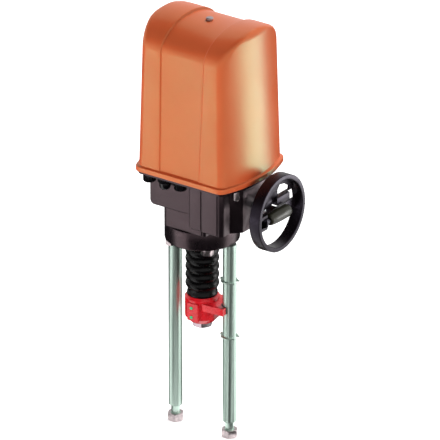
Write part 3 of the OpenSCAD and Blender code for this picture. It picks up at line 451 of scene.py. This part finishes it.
class ACTUATOR_OT_hood(bpy.types.Operator):
    """Orange hood with rounded lip and belt edges"""
    bl_idname = "actuator.hood"
    bl_label = "Hood"

    def execute(self, context):
        settings = context.scene.actuator_hood
        hood = joined_copy("cover")
        for place, shift in BELT_EDGE_SHIFTS:
            self.steepen(hood, place, shift)
        rounded_copy("cover", "orange_hood", hood_lacquer(settings), settings.edge, angle=30, segments=3, copy=hood)
        return {"FINISHED"}

    def steepen(self, hood, place, shift, reach=0.05 * MM):
        """Moves the points of one edge line of the belt along the hood."""
        edit_chosen(hood, "VERT", lambda point: abs(point.co.x - place) < reach)
        bpy.ops.transform.translate(value=(shift, 0, 0))
        bpy.ops.object.mode_set(mode="OBJECT")


class ACTUATOR_OT_castings(bpy.types.Operator):
    """Black castings: gear housing, flange plate, tray and handwheel"""
    bl_idname = "actuator.castings"
    bl_label = "Castings"

    def execute(self, context):
        settings = context.scene.actuator_castings
        enamel = casting_enamel(settings)
        smooth = casting_enamel(settings, "turned_casting_enamel", low=0.26, high=0.32)
        housing = joined_copy("gear_housing")
        raise_flats(housing, Vector((0, -1, 0)))
        rounded_copy("gear_housing", "housing_casting", enamel, settings.edge, copy=housing)
        rounded_copy("flange_plate", "flange_casting", smooth, settings.edge)
        rounded_copy("base_tray", "tray_casting", enamel, settings.edge)
        rounded_copy("handwheel", "handwheel_casting", wheel_enamel(settings), settings.edge, segments=3)
        return {"FINISHED"}


class ACTUATOR_OT_metalwork(bpy.types.Operator):
    """Pillars, nuts, bolts, screws, clips, shafts and the crank's arm"""
    bl_idname = "actuator.metalwork"
    bl_label = "Metalwork"

    def execute(self, context):
        bar = drawn_steel()
        zinc = zinc_plate()
        ground = turned_steel()
        rose = zinc_plate("rose_zinc_plated_steel", "#D6C2C9", "#B6A3AC")
        dark = turned_steel("blackened_steel", "#2A2830", "#1E1C22")
        for node in ("rear_pillar", "front_pillar"):
            rounded_copy(node, node + "_bar", bar)
        for node, material in (("pillar_nuts", zinc), ("flange_bolts", zinc), ("cover_screws", zinc),
                               ("upper_travel_clip", bar), ("lower_travel_clip", bar), ("stem_adapter", rose),
                               ("hood_plug", zinc), ("wheel_screw", zinc), ("crank_pin", dark)):
            rounded_copy(node, node + "_turned", material, edge=0.25 * MM)
        for node in ("bellows_collar", "spindle", "wheel_shaft", "lower_bearing", "upper_bearing", "idler_pin"):
            rounded_copy(node, node + "_turned", ground)
        rounded_copy("crank_arm", "crank_arm_forging", dark, edge=0.6 * MM)
        return {"FINISHED"}


class ACTUATOR_OT_bellows(bpy.types.Operator):
    """Rubber bellows between the flange and the coupling"""
    bl_idname = "actuator.bellows"
    bl_label = "Bellows"

    def execute(self, context):
        settings = context.scene.actuator_bellows
        low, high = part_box("bellows")
        foot, top = low[2], high[2]
        rows = self.outline(settings, foot, top)
        tube = self.turn(rows)
        wall = tube.modifiers.new("wall", "SOLIDIFY")
        wall.thickness = settings.wall
        wall.offset = -1
        apply_all(tube)
        bpy.ops.object.shade_smooth_by_angle(angle=FOLD_SMOOTH_ANGLE)
        tube.name = "bellows_rubber"
        give(tube, bellows_rubber())
        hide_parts("bellows")
        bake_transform(tube)
        return {"FINISHED"}

    def outline(self, settings, foot, top):
        """Heights and radii from the foot up: a cuff with a raised band, the folds, and a plain upper rim."""
        cuff_length, rim_length = 12 * MM, 1 * MM
        chamfer, band_top, band_end = 0.6 * MM, 4 * MM, 4.8 * MM
        waist = settings.cuff - 0.9 * MM
        steps, roundness = 14, 0.75
        pitch = (top - foot - cuff_length - rim_length) / settings.folds
        swell = settings.crest - settings.valley
        rows = [(foot, settings.cuff - chamfer), (foot + chamfer, settings.cuff), (foot + band_top, settings.cuff),
                (foot + band_end, waist), (foot + cuff_length - 1 * MM, waist)]
        for fold in range(settings.folds):
            for step in range(steps):
                share = math.sin(math.pi * step / steps) ** roundness
                rows.append((foot + cuff_length + (fold + step / steps) * pitch, settings.valley + swell * share))
        return rows + [(top - rim_length, settings.valley), (top, settings.valley - 0.4 * MM)]

    def turn(self, rows):
        """A round tube that is extruded upwards from row to row."""
        bpy.ops.mesh.primitive_circle_add(vertices=96, radius=rows[0][1], fill_type="NOTHING",
                                          location=(0, 0, rows[0][0]))
        tube = bpy.context.object
        bpy.ops.object.mode_set(mode="EDIT")
        bpy.ops.mesh.select_all(action="SELECT")
        for (z0, r0), (z1, r1) in zip(rows, rows[1:]):
            bpy.ops.mesh.extrude_edges_move(TRANSFORM_OT_translate={"value": (0, 0, z1 - z0)})
            bpy.ops.transform.resize(value=(r1 / r0, r1 / r0, 1), center_override=(0, 0, z1))
        bpy.ops.mesh.select_all(action="SELECT")
        bpy.ops.mesh.normals_make_consistent(inside=False)
        bpy.ops.object.mode_set(mode="OBJECT")
        settle(tube)
        return tube


class ACTUATOR_OT_coupling(bpy.types.Operator):
    """Red coupling with its slide insert, and the limit switches in the same dark plastic"""
    bl_idname = "actuator.coupling"
    bl_label = "Coupling"

    def execute(self, context):
        rounded_copy("stem_coupling", "red_coupling", coupling_lacquer(), edge=0.9 * MM, angle=30, segments=3)
        dark = moulded_polyamide("dark_polyamide", "#2A302E", "#1F2423")
        rounded_copy("slide_insert", "slide_insert_moulding", dark, edge=0.2 * MM)
        give(frame["nodes"]["limit_switches"], dark)
        return {"FINISHED"}


class ACTUATOR_OT_set_screws(bpy.types.Operator):
    """Sealed set screws in the coupling"""
    bl_idname = "actuator.set_screws"
    bl_label = "Set screws"

    def execute(self, context):
        radius = 2.5 * MM
        low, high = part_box("coupling_screws")
        screws = [self.screw(radius, low[1], z) for z in (low[2] + radius, high[2] - radius)]
        bpy.ops.object.select_all(action="DESELECT")
        for screw in screws:
            screw.select_set(True)
        bpy.context.view_layer.objects.active = screws[0]
        bpy.ops.object.join()
        only(screws[0])
        bpy.ops.object.shade_smooth_by_angle(angle=SMOOTH_ANGLE)
        dress(screws[0], "sealed_set_screws", "coupling_screws", marking_paint())
        return {"FINISHED"}

    def screw(self, radius, front, height, length=12 * MM):
        """One screw that starts at the front and lies along Y, with a rim round a shallow cone in its head."""
        rim, slope, dip = 0.6 * MM, 0.5 * MM, 1.2 * MM
        bpy.ops.mesh.primitive_cylinder_add(vertices=32, radius=radius, depth=length,
                                            location=(0, front + length / 2, height), rotation=(math.pi / 2, 0, 0))
        screw = bpy.context.object
        settle(screw)
        edit_chosen(screw, "FACE", lambda face: face.normal.y < -0.9)
        bpy.ops.mesh.inset(thickness=rim)
        bpy.ops.mesh.inset(thickness=slope)
        bpy.ops.transform.translate(value=(0, dip, 0))
        bpy.ops.object.mode_set(mode="OBJECT")
        bevel = screw.modifiers.new("edge", "BEVEL")
        bevel.width = 0.4 * MM
        bevel.segments = 3
        apply_all(screw)
        return screw


class ACTUATOR_OT_grip(bpy.types.Operator):
    """Turning grip of the crank, a barrel with a rounded end"""
    bl_idname = "actuator.grip"
    bl_label = "Crank grip"

    def execute(self, context):
        olive = moulded_polyamide("olive_polyamide", "#2B2A1C", "#222116", low=0.3, high=0.4)
        rounded_copy("crank_grip", "crank_grip_moulding", olive, edge=0.6 * MM, segments=3)
        return {"FINISHED"}


class ACTUATOR_OT_glands(bpy.types.Operator):
    """Cable gland and blanking plugs"""
    bl_idname = "actuator.glands"
    bl_label = "Glands"

    def execute(self, context):
        black = moulded_polyamide("black_polyamide", "#0C0A0D", "#080709", low=0.2, high=0.3)
        for node in ("gland_body", "gland_dome_nut", "blanking_plugs"):
            rounded_copy(node, node + "_moulding", black, edge=0.3 * MM)
        return {"FINISHED"}


class ACTUATOR_OT_inside(bpy.types.Operator):
    """Finishes of the pieces under the hood and in the housing"""
    bl_idname = "actuator.inside"
    bl_label = "Inner pieces"

    def execute(self, context):
        rubber = moulded_polyamide("sealing_rubber", "#171517", "#201D20")
        zinc = zinc_plate("bright_zinc_plate", "#C2C6CA", "#A5A9AE")
        gears = gear_steel()
        bronze = bearing_bronze()
        finishes = {
            "cover_seal": rubber, "shaft_seal": rubber, "crown_gear": gears, "output_gear": gears,
            "bevel_pinion": gears, "motor_pinion": gears, "idler_gear": gears, "guide_bush": bronze,
            "spindle_nut": bronze, "shaft_bushes": bronze, "motor": motor_enamel(),
            "capacitor": turned_steel("drawn_aluminium", "#D0D3D8", "#BABEC4"),
            "circuit_board": board_laminate(),
            "terminal_block": moulded_polyamide("green_polyamide", "#4C6B52", "#3F5A45"),
            "tray_screws": zinc, "cover_lugs": zinc, "trip_collar": zinc, "switch_rail": zinc,
            "motor_bracket": zinc, "board_pillars": zinc, "retaining_ring": zinc,
        }
        for node, material in finishes.items():
            give(frame["nodes"][node], material)
        return {"FINISHED"}


class ACTUATOR_OT_stage(bpy.types.Operator):
    """Floor, soft lights, dark cards, world and camera"""
    bl_idname = "actuator.stage"
    bl_label = "Stage"

    def execute(self, context):
        settings = context.scene.actuator_stage
        self.floor()
        self.world(settings.ambient)
        # The first three lamps light the object without showing in its gloss, and the last shows only in its gloss
        self.soft_light("key_light", place=(-1.3, -2.2, 0.3), size=(1.5, 0.9), power=settings.key, gloss=False)
        self.soft_light("strip_light", place=(2.35, -0.3, 0.4), size=(0.5, 1.6), power=settings.strip, gloss=False)
        self.soft_light("back_light", place=(-0.2, 1.9, 2.4), size=(1.2, 1.2), power=settings.back, gloss=False)
        edge = self.soft_light("edge_light", place=(0.5, 0.41, 0.325), size=(0.32, 0.27), power=settings.edge)
        edge.visible_diffuse = False
        self.dark_cards()
        self.camera()
        return {"FINISHED"}

    def seen(self, tree):
        """1 for rays of the camera, of gloss and of glass, and 0 for rays of light that falls on other things."""
        path = add_node(tree, "ShaderNodeLightPath")
        output = path.outputs["Is Camera Ray"]
        for ray in ("Is Glossy Ray", "Is Transmission Ray"):
            output = add_node(tree, "ShaderNodeMath", {"operation": "MAXIMUM"},
                              {0: output, 1: path.outputs[ray]}).outputs[0]
        return output

    def floor(self):
        """Pale floor that shows white to the camera and keeps the shadow."""
        paper_white, lift = 0.82, 0.7
        bpy.ops.mesh.primitive_plane_add(size=8, location=(0, 0, CAD_BOX[0][2]))
        plane = bpy.context.object
        plane.name = "floor"
        material = bpy.data.materials.new("pale_floor")
        tree = empty_tree(material)
        level = add_node(tree, "ShaderNodeMath", {"operation": "MULTIPLY", 1: lift}, {0: self.seen(tree)})
        paper = add_node(tree, "ShaderNodeBsdfDiffuse", {"Color": (paper_white, paper_white, paper_white, 1)})
        glow = add_node(tree, "ShaderNodeEmission", links={"Strength": level.outputs[0]})
        both = add_node(tree, "ShaderNodeAddShader", links={0: paper.outputs[0], 1: glow.outputs[0]})
        add_node(tree, "ShaderNodeOutputMaterial", links={"Surface": both.outputs[0]})
        give(plane, material)

    def dark_cards(self):
        """Dark cards round and above the object, which show only in gloss and give it its blacks."""
        felt_black = 0.005
        material = bpy.data.materials.new("dark_felt")
        tree = empty_tree(material)
        felt = add_node(tree, "ShaderNodeBsdfDiffuse", {"Color": (felt_black, felt_black, felt_black, 1)})
        add_node(tree, "ShaderNodeOutputMaterial", links={"Surface": felt.outputs[0]})
        ring = self.open_ring(inner=0.08, outer=3, gaps=((-143, -98), (20, 66)))
        ring.name = "dark_ring"
        bpy.ops.mesh.primitive_plane_add(size=3.6, location=(-1.1, -1.3, 1.9))
        roof = bpy.context.object
        roof.name = "dark_roof"
        for card in (ring, roof):
            give(card, material)
            card.visible_camera = card.visible_diffuse = False
            card.visible_shadow = card.visible_transmission = False

    def open_ring(self, inner, outer, gaps):
        """A flat ring just over the floor, left open between the directions in degrees that gaps gives."""
        bpy.ops.mesh.primitive_circle_add(vertices=72, radius=outer, fill_type="NOTHING",
                                          location=(0, 0, CAD_BOX[0][2] + 1 * MM))
        ring = bpy.context.object
        settle(ring)
        bpy.ops.object.mode_set(mode="EDIT")
        bpy.ops.mesh.select_all(action="SELECT")
        bpy.ops.mesh.extrude_edges_move()
        bpy.ops.transform.resize(value=(inner / outer, inner / outer, 1), center_override=(0, 0, 0))

        def in_gap(face):
            turn = math.degrees(math.atan2(face.center.y, face.center.x))
            return any(start < turn < end for start, end in gaps)

        edit_chosen(ring, "FACE", in_gap)
        bpy.ops.mesh.delete(type="FACE")
        bpy.ops.object.mode_set(mode="OBJECT")
        return ring

    def world(self, ambient):
        """Even white world: full strength where the camera, gloss or glass sees it, and dimmer as a light."""
        world = bpy.data.worlds.new("white_room")
        tree = empty_tree(world)
        level = add_node(tree, "ShaderNodeMapRange", {"To Min": ambient, "To Max": 1}, {"Value": self.seen(tree)})
        sky = add_node(tree, "ShaderNodeBackground", links={"Strength": level.outputs[0]})
        add_node(tree, "ShaderNodeOutputWorld", links={"Surface": sky.outputs[0]})
        bpy.context.scene.world = world

    def soft_light(self, name, place, size, power, gloss=True):
        """Rectangular soft light that faces the middle of the object, with or without its reflection in gloss."""
        middle = Vector((0, 0, 0.4))
        data = bpy.data.lights.new(name, "AREA")
        data.shape = "RECTANGLE"
        data.size, data.size_y = size
        data.energy = power
        lamp = bpy.data.objects.new(name, data)
        bpy.context.scene.collection.objects.link(lamp)
        lamp.visible_camera = False
        lamp.visible_glossy = gloss
        lamp.location = place
        lamp.rotation_euler = (Vector(place) - middle).to_track_quat("Z", "Y").to_euler()
        return lamp

    def camera(self):
        """Long lens at the photograph's angle: the view is almost parallel."""
        right = Vector((math.cos(AZIMUTH), math.sin(AZIMUTH), 0))
        back = Vector((math.sin(AZIMUTH) * math.cos(ELEVATION), -math.cos(AZIMUTH) * math.cos(ELEVATION),
                       math.sin(ELEVATION)))
        up = back.cross(right)
        aside, rise = 0.028, 0.3072
        centre = right * aside + up * rise
        data = bpy.data.cameras.new("camera")
        data.lens = 600
        data.sensor_width = 36
        data.clip_end = 60
        camera = bpy.data.objects.new("camera", data)
        bpy.context.scene.collection.objects.link(camera)
        distance = PHOTO_PIXELS * PIXEL_SIZE * data.lens / data.sensor_width
        turn = Matrix((right, up, back)).transposed()
        camera.matrix_world = Matrix.Translation(centre + back * distance) @ turn.to_4x4()
        bpy.context.scene.camera = camera
        bpy.context.scene.view_settings.view_transform = "Standard"


class ACTUATOR_PT_panel(bpy.types.Panel):
    """Lists the actuator's settings and pieces"""
    bl_label = "Valve Actuator"
    bl_space_type = "VIEW_3D"
    bl_region_type = "UI"
    bl_category = "Valve Actuator"

    def draw(self, context):
        for group_name in GROUPS:
            group = getattr(context.scene, group_name)
            box = self.layout.box()
            for name in group.__annotations__:
                box.prop(group, name)
        for operator in OPERATORS:
            self.layout.operator(operator.bl_idname)


GROUPS = {"actuator_hood": HoodSettings, "actuator_castings": CastingSettings,
          "actuator_bellows": BellowsSettings, "actuator_stage": StageSettings}
OPERATORS = (ACTUATOR_OT_hood, ACTUATOR_OT_castings, ACTUATOR_OT_metalwork, ACTUATOR_OT_bellows,
             ACTUATOR_OT_coupling, ACTUATOR_OT_set_screws, ACTUATOR_OT_grip, ACTUATOR_OT_glands,
             ACTUATOR_OT_inside, ACTUATOR_OT_stage)


def register():
    for name, group in GROUPS.items():
        bpy.utils.register_class(group)
        setattr(bpy.types.Scene, name, PointerProperty(type=group))
    for operator in OPERATORS:
        bpy.utils.register_class(operator)
    bpy.utils.register_class(ACTUATOR_PT_panel)


def unregister():
    bpy.utils.unregister_class(ACTUATOR_PT_panel)
    for operator in reversed(OPERATORS):
        bpy.utils.unregister_class(operator)
    for name, group in GROUPS.items():
        delattr(bpy.types.Scene, name)
        bpy.utils.unregister_class(group)


def main():
    """Registers the add-on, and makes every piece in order."""
    register()
    bpy.ops.actuator.hood()
    bpy.ops.actuator.castings()
    bpy.ops.actuator.metalwork()
    bpy.ops.actuator.bellows()
    bpy.ops.actuator.coupling()
    bpy.ops.actuator.set_screws()
    bpy.ops.actuator.grip()
    bpy.ops.actuator.glands()
    bpy.ops.actuator.inside()
    bpy.ops.actuator.stage()


if __name__ == "__main__":
    main()
